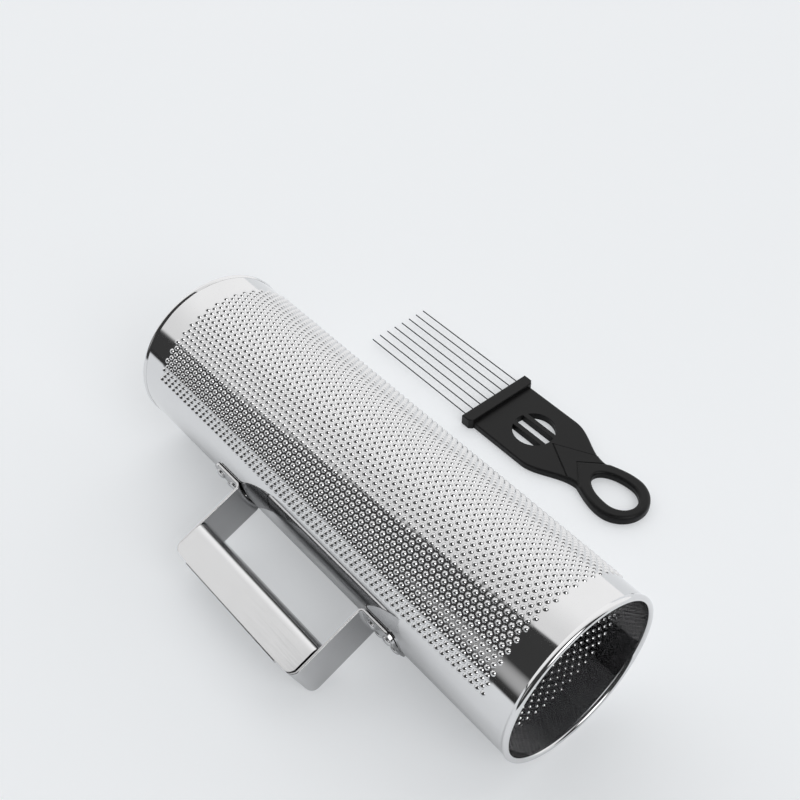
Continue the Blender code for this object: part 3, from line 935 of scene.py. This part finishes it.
@dataclass(frozen=True)
class Handle:
    """The strap bent to a U, and the folded grip inside it."""

    seat: DrumSeat
    offset: float = -0.0022
    width: float = 0.029
    thick: float = 0.0015
    length: float = 0.108
    foot_length: float = 0.0241
    foot_inner: float = 0.0504
    outer: float = 0.098
    foot_corner: float = 0.006
    foot_bend: float = 0.0018
    strap_bend: float = 0.0038
    edge_round: float = 0.0004
    strap_sharp: float = math.radians(50)
    grip_depth: float = 0.0215
    grip_wall: float = 0.0008
    grip_round: float = 0.006
    grip_corner: float = 0.005
    grip_end_gap: float = 0.0005
    grip_gap: float = 0.0003
    grip_sharp: float = math.radians(40)
    lip_inset: float = 0.012
    lip_width: float = 0.003
    lip_steps: int = 4
    bend_steps: int = 12
    flat_steps: int = 8
    corner_steps: int = 12
    edge_steps: int = 6

    def columns(self) -> list[tuple[float, float, float]]:
        """Lays out the strap's width.

        Returns:
            Each place across, how far the foot's rounded tip draws back there, and how much the band's
            two faces sink there at its rounded edge.
        """
        half = self.width / 2
        straight = half - self.foot_corner
        corner = half - self.edge_round
        places = evenly(0.0, straight, self.flat_steps) + evenly(straight, corner, self.corner_steps)[1:-1]
        rows = [(u, 0.0) for u in places]
        rows += [(corner + self.edge_round * math.sin(t), self.edge_round * (1 - math.cos(t)))
                 for t in quarter(self.edge_steps)]
        found = []
        for u, sink in rows:
            past = min(max(0.0, u - straight), self.foot_corner)
            back = self.foot_corner - math.sqrt(self.foot_corner ** 2 - past ** 2)
            found.append((u, back, sink))
        return [(-u, back, sink) for u, back, sink in reversed(found[1:])] + found

    def dress_strap(self) -> None:
        """Builds the band with its curved feet and puts it in the strap's place."""
        half = self.thick / 2
        leg = self.length / 2 - half
        tip = self.length / 2 + self.foot_length
        foot, bar = self.foot_inner + half, self.outer - half
        corners = [Vector(c) for c in ((tip, foot), (leg, foot), (leg, bar), (-leg, bar), (-leg, foot),
                                       (-tip, foot))]
        bends = [bend + half for bend in (self.foot_bend, self.strap_bend, self.strap_bend, self.foot_bend)]
        path = round_corners(corners, bends, self.bend_steps)
        leg_top = self.outer - self.thick - self.strap_bend
        foot_outer = self.foot_inner + self.thick
        rings = []
        for u, back, sink in self.columns():
            ring = []
            for point in band(path, half - sink):
                share = min(1.0, max(0.0, (leg_top - point.y) / (leg_top - foot_outer)))
                fall = share * (point.y - math.sqrt(point.y ** 2 - u * u))
                drawn = math.copysign(back, point.x) if abs(point.x) > tip - half / 2 else 0.0
                ring.append(Vector((point.x - drawn, point.y - fall, u)))
            rings.append(ring)
        piece = solid("handle_band", loft(rings), self.seat.matrix(self.offset), STRAP_FINISH.material())
        crisp(piece, self.strap_sharp)
        hand_over(piece, "drum", ["handle_strap"])

    def channel(self, half_width: float, half_length: float) -> Shape:
        """Folds the grip's sheet into a channel, with its corners at the strap rounded.

        Args:
            half_width: Half the channel's width.
            half_length: Half its length.

        Returns:
            The channel.
        """
        half = self.grip_wall / 2
        middle = half_width - half
        web = self.outer - self.grip_depth + half
        corners = [Vector(c) for c in ((self.outer, middle), (web, middle), (web, -middle),
                                       (self.outer, -middle))]
        outline = band(round_corners(corners, [self.grip_round - half] * 2, self.bend_steps), half)
        bm = loft([[Vector((x, p.x, p.y)) for p in outline] for x in (-half_length, half_length)])
        edges = []
        for edge in bm.edges:
            first, second = (vert.co for vert in edge.verts)
            if min(first.y, second.y) > self.outer - half and abs(first.x - second.x) < half:
                edges.append(edge)
        bmesh.ops.bevel(bm, geom=edges, offset=self.grip_corner, segments=self.bend_steps, profile=0.5,
                        affect="EDGES")
        return bm

    def dress_grip(self) -> None:
        """Builds the folded channel with its lips and puts it in the grip's place."""
        half_width = self.width / 2 + self.grip_gap + self.grip_wall
        half_length = self.length / 2 - self.thick - self.grip_end_gap
        place = self.seat.matrix(self.offset)
        piece = solid("handle_channel", self.channel(half_width, half_length), place, GRIP_FINISH.material())
        wall_inner = half_width - self.grip_wall
        lip_inner = self.outer + self.grip_gap
        lip_outer = lip_inner + self.grip_wall
        lip_edge = half_width - self.lip_width
        lip_end = half_length - self.lip_inset
        root = self.outer - self.thick
        bend = [(lip_outer - self.grip_wall * (1 - math.sin(t)),
                 half_width - self.grip_wall * (1 - math.cos(t))) for t in quarter(self.lip_steps)]
        section = [(root, wall_inner), (root, half_width), *bend, (lip_outer, lip_edge),
                   (lip_inner, lip_edge), (lip_inner, wall_inner)]
        lips = [[[Vector((x, rho, side * u)) for rho, u in section] for x in (-lip_end, lip_end)]
                for side in (-1, 1)]
        combine(piece, [(tool(place, lip), Cut.JOIN) for lip in lips])
        crisp(piece, self.grip_sharp)
        hand_over(piece, "drum", ["handle_grip"])

    def dress(self) -> None:
        """Builds the strap and the grip."""
        self.dress_strap()
        self.dress_grip()


def set_out_tree() -> PieceTree:
    """Builds the tree that sets one fastener on each of a row of places, turned about X as each asks.

    Returns:
        The tree.
    """
    piece = PieceTree("set_out")
    fastener = piece.take("Fastener", SocketKind.OBJECT)
    turn = piece.graph.add("GeometryNodeInputNamedAttribute", {"Name": "turn"}, data_type="FLOAT_VECTOR")
    info = piece.graph.add("GeometryNodeObjectInfo", {"Object": fastener})
    euler = piece.graph.add("FunctionNodeEulerToRotation", {0: turn.outputs["Attribute"]})
    placed = piece.graph.add("GeometryNodeInstanceOnPoints", {
        "Points": piece.places, "Instance": info.outputs["Geometry"], "Rotation": euler.outputs[0]})
    piece.close(placed.outputs[0])
    return piece


def set_out(name: str, fastener: bpy.types.Object, places: Sequence[Vector], turns: Sequence[float],
            finish: bpy.types.Material) -> bpy.types.Object:
    """Sets copies of one fastener out as a single piece.

    Args:
        name: The piece's name.
        fastener: The shape to repeat, which is used up.
        places: Where each copy goes.
        turns: How far each copy is turned about X.
        finish: The piece's material.

    Returns:
        The piece.
    """
    mesh = bpy.data.meshes.new(name)
    mesh.from_pydata([tuple(place) for place in places], [], [])
    attribute = mesh.attributes.new("turn", "FLOAT_VECTOR", "POINT")
    attribute.data.foreach_set("vector", [value for turn in turns for value in (turn, 0.0, 0.0)])
    piece = new_object(name, mesh)
    set_out_tree().run(piece, {"Fastener": fastener, "Finish": finish})
    piece.data.set_sharp_from_angle(angle=FASTENER_EDGE)
    discard(fastener)
    return piece


@dataclass(frozen=True)
class Rivets:
    """The rivets that hold the strap's feet: formed tail, shank and domed head."""

    seat: DrumSeat
    handle: Handle
    head: float = 0.0065
    head_height: float = 0.0017
    head_foot: float = 0.48
    head_edge: float = 0.12
    head_steps: int = 9
    shank: float = 0.0032
    tail: float = 0.0050
    tail_height: float = 0.0012
    tail_flat: float = 0.30
    tail_round: float = 0.7
    tail_steps: int = 4
    tail_top: float = 0.0492
    head_base: float = 0.0518
    from_leg: Span = (0.00635, 0.01905)
    across: float = 0.0145
    segments: int = 32

    def profile(self) -> list[Span]:
        """Draws a rivet from its tail up.

        Returns:
            Places along the rivet, from the drum's axis, with the radius at each.
        """
        low, base = self.tail_top - self.tail_height, self.head_base
        points = [(low, 0.0), (low, self.tail * self.tail_flat)]
        for turn in quarter(self.tail_steps)[1:]:
            points.append((low + self.tail_height * self.tail_round * (1 - math.cos(turn)),
                           self.tail * (self.tail_flat + (0.5 - self.tail_flat) * math.sin(turn))))
        points += [(self.tail_top, self.tail / 2), (self.tail_top, self.shank / 2), (base, self.shank / 2),
                   (base, self.head * self.head_foot)]
        for turn in quarter(self.head_steps)[:-1]:
            rise = self.head_edge + (1 - self.head_edge) * math.sin(turn)
            points.append((base + self.head_height * rise, self.head / 2 * math.cos(turn)))
        return points + [(base + self.head_height, 0.0)]

    def dress(self) -> None:
        """Builds the rivets and puts them in their nodes' place."""
        shape = lathe(self.profile(), self.segments, lambda y, p, q: Vector((p, y, q)))
        fastener = solid("rivet_tool", shape, Matrix.Identity(4))
        angle = math.asin(self.across / 2 / (self.handle.foot_inner + self.handle.thick))
        places, turns, nodes = [], [], []
        for end in End:
            for from_leg in self.from_leg:
                x = end.value * (self.handle.length / 2 + from_leg) + self.handle.offset
                places += [self.seat.centre + Vector((x, 0.0, 0.0))] * 2
                turns += [self.seat.handle_turn + turn for turn in (-angle, angle)]
            nodes += ["%s_rivet_%d" % (end.name.lower(), k) for k in range(1, 2 * len(self.from_leg) + 1)]
        piece = set_out("handle_rivets", fastener, places, turns, RIVET_FINISH.material())
        hand_over(piece, "drum", nodes)


@dataclass(frozen=True)
class Scraper:
    """The moulded handle and the pins in its head bar, measured from the bar's face."""

    pin_count: int = 8
    pin_pitch: float = 0.0065
    pin_diameter: float = 0.0008
    pin_length: float = 0.0950
    pin_seat: float = 0.0052
    pin_segments: int = 16
    pin_tip_steps: int = 6
    pin_stretches: int = 4
    socket_gap: float = 0.00005
    bar_depth: float = 0.0082
    bar_height: float = 0.0080
    bar_length: float = 0.0559
    bar_round: float = 0.0007
    bar_cut: float = 0.0022
    blade_width: float = 0.0502
    blade_thick: float = 0.0050
    blade_round: float = 0.0010
    shoulder: float = 0.0495
    neck: float = 0.0855
    neck_width: float = 0.0258
    loop_centre: float = 0.1080
    loop_width: float = 0.0374
    loop_round: float = 0.0024
    neck_steps: int = 30
    throat_steps: int = 20
    loop_steps: int = 40
    hole_back: float = 0.0121
    hole_front: float = 0.0204
    hole_half: float = 0.0107
    hole_round: float = 0.00192
    hole_steps: int = 72
    window_centre: float = 0.03665
    window_diameter: float = 0.0276
    window_bar: float = 0.0034
    window_slot: float = 0.0066
    window_round: float = 0.0003
    window_round_steps: int = 3
    window_arc_steps: int = 32
    window_end_steps: int = 8
    chevrons: tuple[Span, ...] = ((0.05305, 0.0260), (0.0737, 0.0143))
    chevron_step: float = 0.0006
    chevron_lean: float = 1.6
    groove_width: float = 0.0009
    groove_depth: float = 0.0005
    side_step: float = 0.00006
    sharp_edge: float = math.radians(25)

    @property
    def place(self) -> Matrix:
        """The scraper's frame, on the table at the middle of its head bar's face."""
        low, high = (Vector(corner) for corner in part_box("scraper_handle"))
        return Matrix.Translation((low.x, (low.y + high.y) / 2, 0.0))

    def half_width(self, x: float) -> float:
        """Gives half the handle's width.

        Args:
            x: Place along the handle.

        Returns:
            Half the width there.
        """
        blade, neck, loop = self.blade_width / 2, self.neck_width / 2, self.loop_width / 2
        if x <= self.shoulder:
            return blade
        if x <= self.neck:
            share = (x - self.shoulder) / (self.neck - self.shoulder)
            return blade + (neck - blade) * (1 - math.cos(math.pi * share)) / 2
        share = (x - self.neck) / (self.loop_centre - self.neck)
        return neck + (loop - neck) * math.sin(math.pi / 2 * share)

    def edge_round(self, x: float) -> float:
        """Gives the radius of the handle's upper edge at a place along it."""
        share = min(1.0, max(0.0, (x - self.shoulder) / (self.loop_centre - self.shoulder)))
        return self.blade_round + (self.loop_round - self.blade_round) * share

    def outline(self, inset: float) -> Path:
        """Draws the handle's outline, anticlockwise from inside the head bar.

        Args:
            inset: How far it stays inside the full outline.

        Returns:
            The outline.
        """
        stations = [self.bar_depth / 2, *evenly(self.shoulder, self.neck, self.neck_steps),
                    *evenly(self.neck, self.loop_centre, self.throat_steps)[1:]]
        lower = [Vector((x, inset - self.half_width(x))) for x in stations]
        turns = evenly(-math.pi / 2, math.pi / 2, self.loop_steps)[1:-1]
        end = arc(self.loop_width / 2 - inset, turns, self.loop_centre)
        return lower + end + [Vector((p.x, -p.y)) for p in reversed(lower)]

    def plate(self, bottom: float, top: float, inset: float = 0.0) -> Rings:
        """Lays out one layer of the handle, with an upper edge that grows rounder towards the loop.

        Args:
            bottom: Height of its lower face.
            top: Height of its upper face.
            inset: How far it stays inside the full outline.

        Returns:
            The layer's rings.
        """
        outline = self.outline(inset)
        rounds = [self.edge_round(p.x) for p in outline]
        return rounded_plate(outline, bottom, top, self.side_step if inset else self.blade_round, rounds)

    def vee(self, apex: float, sweep: float, shift: float = 0.0) -> list[Span]:
        """Draws a chevron's line across the handle and past its sides.

        Args:
            apex: The chevron's point, along the handle.
            sweep: How far it runs back to the handle's sides.
            shift: How far the line is moved along the handle.

        Returns:
            The line's three points.
        """
        wide = self.bar_length
        back = wide * sweep / self.half_width(apex + sweep)
        return [(apex + shift + back, -wide), (apex + shift, 0.0), (apex + shift + back, wide)]

    def chevron(self, apex: float, sweep: float) -> Rings:
        """Lays out the cutter that leaves a layer's front edge as a chevron with a leaning face.

        Args:
            apex: The chevron's point, along the handle.
            sweep: How far it runs back to the handle's sides.

        Returns:
            The cutter's rings, from below to above.
        """
        wide, high = self.bar_length, self.blade_thick
        rings = []
        for level, lean in ((0.0, 0.0), (high, 0.0), (2 * high, high * self.chevron_lean)):
            edge = [(-wide, -wide), *self.vee(apex, sweep, lean), (-wide, wide)]
            rings.append([Vector((x, y, level)) for x, y in edge])
        return rings

    def groove(self, apex: float, sweep: float, floor: float) -> Rings:
        """Lays out the cutter of the groove along a chevron's front.

        Args:
            apex: The chevron's point, along the handle.
            sweep: How far it runs back to the handle's sides.
            floor: Height of the groove's floor.

        Returns:
            The cutter's rings, from below to above.
        """
        near, tip, far = self.vee(apex, sweep, -self.groove_width)
        edge = [near, *self.vee(apex, sweep), far, tip]
        return [[Vector((x, y, level)) for x, y in edge] for level in (floor, 2 * self.blade_thick)]

    def hole(self) -> Path:
        """Draws the finger hole, which reaches further towards the blade.

        Returns:
            The hole's outline, anticlockwise.
        """
        outline = []
        for point in arc(1.0, around(self.hole_steps)):
            reach = self.hole_back if point.x > 0 else self.hole_front
            outline.append(Vector((self.loop_centre + reach * point.x, self.hole_half * point.y)))
        return outline

    def window(self) -> list[Path]:
        """Draws the three slots that two bars leave in the round window.

        Returns:
            The slots' outlines, anticlockwise.
        """
        radius, near = self.window_diameter / 2, self.window_slot / 2
        inner, outer = (math.asin(y / radius) for y in (near, near + self.window_bar))
        cap = arc(radius, evenly(outer, math.pi - outer, self.window_arc_steps))
        end = arc(radius, evenly(-inner, inner, self.window_end_steps))
        slots = [cap, [-p for p in cap], end + [-p for p in end]]
        centre = Vector((self.window_centre, 0.0))
        return [[p + centre for p in slot] for slot in slots]

    def pin_offsets(self) -> list[float]:
        """Gives the pins' places across the head bar."""
        return [self.pin_pitch * (k - (self.pin_count - 1) / 2) for k in range(self.pin_count)]

    def sockets(self) -> list[Rings]:
        """Lays out the cutters of the pins' blind holes.

        Returns:
            Each cutter's rings, from outside the head bar inwards.
        """
        circle = arc(self.pin_diameter / 2 + self.socket_gap, around(self.pin_segments))
        depths = (-self.pin_diameter, self.pin_seat + self.socket_gap)
        return [[[Vector((x, y + p.x, self.bar_height / 2 + p.y)) for p in circle] for x in depths]
                for y in self.pin_offsets()]

    def bar_outline(self) -> Path:
        """Draws the head bar's outline, with its corners cut towards the handle."""
        half, cut = self.bar_length / 2, self.bar_cut
        corners = [(0.0, -half), (self.bar_depth - cut, -half), (self.bar_depth, cut - half),
                   (self.bar_depth, half - cut), (self.bar_depth - cut, half), (0.0, half)]
        return [Vector(corner) for corner in corners]

    def dress_handle(self) -> None:
        """Builds the moulded handle and puts it in its node's place."""
        place, blade = self.place, self.blade_thick
        root = blade / 3
        piece = solid("scraper_moulding", loft(self.plate(0.0, blade)), place, BLACK_FINISH.material())
        bar = self.bar_outline()
        rings = rounded_plate(bar, 0.0, self.bar_height, self.bar_round, [self.bar_round] * len(bar))
        tools = [(tool(place, rings), Cut.JOIN)]
        top, cutters = blade, []
        for number, (apex, sweep) in enumerate(self.chevrons, 1):
            cutters.append([self.groove(apex, sweep, top - self.groove_depth)])
            top += self.chevron_step
            layer = tool(place, self.plate(root, top, self.side_step * number))
            combine(layer, [(tool(place, self.chevron(apex, sweep)), Cut.REMOVE)])
            tools.append((layer, Cut.JOIN))
        cutters.append([rounded_hole(self.hole(), 0.0, top, self.hole_round)])
        cutters.append([rounded_hole(slot, 0.0, blade, self.window_round, self.window_round_steps)
                        for slot in self.window()])
        cutters.append(self.sockets())
        combine(piece, tools + [(tool(place, *skins), Cut.REMOVE) for skins in cutters])
        crisp(piece, self.sharp_edge)
        hand_over(piece, "scraper", ["scraper_handle"])

    def dress_pins(self) -> None:
        """Builds the pins and puts them in their nodes' place."""
        radius, length = self.pin_diameter / 2, self.pin_length
        profile = [(-length, 0.0)]
        profile += [(-length + radius * (1 - math.cos(turn)), radius * math.sin(turn))
                    for turn in quarter(self.pin_tip_steps)[1:]]
        profile += [(x, radius) for x in evenly(-length, 0.0, self.pin_stretches)[1:-1]]
        profile += [(self.pin_seat, radius), (self.pin_seat, 0.0)]
        shape = lathe(profile, self.pin_segments, lambda x, p, q: Vector((x, p, q)))
        pin = solid("pin_tool", shape, Matrix.Identity(4))
        places = [self.place @ Vector((0.0, y, self.bar_height / 2)) for y in self.pin_offsets()]
        piece = set_out("scraper_pins", pin, places, [0.0] * len(places), PIN_FINISH.material())
        nodes = ["scraper_pin_%d" % k for k in range(1, self.pin_count + 1)]
        hand_over(piece, "scraper", nodes)

    def dress(self) -> None:
        """Builds the moulding and the pins."""
        self.dress_handle()
        self.dress_pins()


@dataclass(frozen=True)
class Studio:
    """The pale floor, the soft light around the object and the camera."""

    seat: DrumSeat
    floor_size: float = 8.0
    floor_drop: float = 0.0002
    floor_tint: Colour = (0.62, 0.635, 0.65)
    floor_rough: float = 0.9
    cloud_scale: float = 1.5
    cloud_detail: float = 1.0
    cloud_shade: float = 0.98
    glow_tint: Colour = (0.96, 0.98, 1.0)
    floor_glow: float = 0.38
    floor_mirrored: float = 0.42
    shade_reach: float = 0.06
    shade_samples: int = 6
    # Towards -Y the floor turns dark in reflections only: painted dark reflection, not a real edge of the
    # floor.
    dark_reflection_span: Span = (-0.80, -0.50)
    dark_reflection_tint: Colour = (0.05, 0.05, 0.05)
    back_normal: Colour = (-0.701, 0.704, -0.114)
    back_edge: Span = (-0.09, -0.05)
    front_edge: Span = (-0.66, -0.60)
    back_span: Span = (0.0, 0.5)
    back_light: Span = (0.92, 1.14)
    low_towards: Colour = (-0.240, -0.941, 0.240)
    low_span: Span = (0.97, 1.0)
    low_light: float = 0.50
    near_towards: Colour = (0.740, -0.100, 0.665)
    near_span: Span = (0.90, 0.96)
    near_light: float = 2.6
    gap_light: float = 0.05
    backdrop: float = 0.86
    distance: float = 0.6314
    stand: Span = (51.427, 49.725)
    look: Span = (49.449, 45.173)
    lens: float = 51.95
    sensor: float = 36.0

    def build_floor(self) -> None:
        """Lays the pale floor just under the object; towards -Y it shows dark in reflections only, a painted
        dark reflection.
        """
        half = self.floor_size / 2
        mesh = bpy.data.meshes.new("studio_floor")
        corners = [(-half, -half), (half, -half), (half, half), (-half, half)]
        mesh.from_pydata([(x, y, -self.floor_drop) for x, y in corners], [], [(0, 1, 2, 3)])
        surface = Surface("pale_floor")
        cloud = surface.noise(self.cloud_scale, self.cloud_detail)
        paper = surface.blend(cloud, shade(self.floor_tint, self.cloud_shade), shade(self.floor_tint))
        ray = surface.add("ShaderNodeLightPath").outputs
        along = surface.add("ShaderNodeSeparateXYZ", {0: surface.place}).outputs["Y"]
        # past: the share of painted dark reflection, for glossy rays only, which darkens the floor's colour
        # and takes away its glow there.
        past = surface.math("MULTIPLY", surface.fade(along, self.dark_reflection_span, 1.0, 0.0), ray["Is Glossy Ray"])
        open_share = surface.add("ShaderNodeAmbientOcclusion", {"Distance": self.shade_reach},
                                 samples=self.shade_samples).outputs["AO"]
        mirrored = surface.math("MULTIPLY", surface.math("SUBTRACT", ray["Is Glossy Ray"], past), open_share)
        glow = surface.math("MAXIMUM", surface.math("MULTIPLY", ray["Is Camera Ray"], self.floor_glow),
                            surface.math("MULTIPLY", mirrored, self.floor_mirrored))
        surface.feed(surface.shader, {
            "Roughness": self.floor_rough, "Specular IOR Level": 0.0,
            "Base Color": surface.blend(past, paper, shade(self.dark_reflection_tint)),
            "Emission Color": shade(self.glow_tint), "Emission Strength": glow})
        mesh.materials.append(surface.material)
        new_object("studio_floor", mesh)

    def build_light(self) -> None:
        """Sets a broad soft light behind, a faint one low in front and a small one by the camera."""
        world = bpy.data.worlds.new("soft_studio")
        bpy.context.scene.world = world
        world.use_nodes = True
        graph = NodeGraph(world.node_tree)
        towards = graph.add("ShaderNodeTexCoord").outputs["Generated"]
        aside = graph.add("ShaderNodeSeparateXYZ", {0: towards}).outputs["Y"]
        low_side, near_side, back_side = (graph.vector("DOT_PRODUCT", towards, normal) for normal in (
            self.low_towards, self.near_towards, self.back_normal))
        low = graph.fade(low_side, self.low_span, self.gap_light, self.low_light)
        near = graph.fade(near_side, self.near_span, 0.0, self.near_light)
        within = graph.math("MINIMUM", graph.fade(back_side, self.back_edge, 0.0, 1.0),
                            graph.fade(aside, self.front_edge, 0.0, 1.0))
        back = graph.fade(back_side, self.back_span, *self.back_light)
        level = graph.fade(within, (0.0, 1.0), graph.math("MAXIMUM", low, near), back)
        seen = graph.add("ShaderNodeLightPath").outputs["Is Camera Ray"]
        graph.feed(world.node_tree.nodes["Background"], {
            "Color": (1.0, 1.0, 1.0, 1.0), "Strength": graph.fade(seen, (0.0, 1.0), level, self.backdrop)})

    def build_camera(self) -> None:
        """Puts the camera at the photograph's viewpoint."""
        def ray(azimuth: float, elevation: float) -> Vector:
            """Points from the object towards a place around it."""
            a, e = math.radians(azimuth), math.radians(elevation)
            return Vector((math.sin(a) * math.cos(e), -math.cos(a) * math.cos(e), math.sin(e)))

        data = bpy.data.cameras.new("view")
        data.lens = self.lens
        data.sensor_width = self.sensor
        data.sensor_fit = "HORIZONTAL"
        camera = bpy.data.objects.new("view", data)
        camera.location = self.seat.centre + ray(*self.stand) * self.distance
        camera.rotation_euler = (-ray(*self.look)).to_track_quat("-Z", "Y").to_euler()
        bpy.context.scene.collection.objects.link(camera)
        bpy.context.scene.camera = camera

    def build(self) -> None:
        """Builds the floor, the light and the camera."""
        self.build_floor()
        self.build_light()
        self.build_camera()
        bpy.context.scene.view_settings.view_transform = "Standard"


def main() -> None:
    """Builds the studio and dresses each sub-assembly."""
    logging.basicConfig(level=logging.INFO, format="%(message)s")
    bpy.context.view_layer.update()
    seat = DrumSeat()
    handle = Handle(seat)
    Studio(seat).build()
    DrumSheet(seat).dress()
    for end in End:
        Rim(seat, end).dress()
    handle.dress()
    Rivets(seat, handle).dress()
    Scraper().dress()


if __name__ == "__main__":
    main()
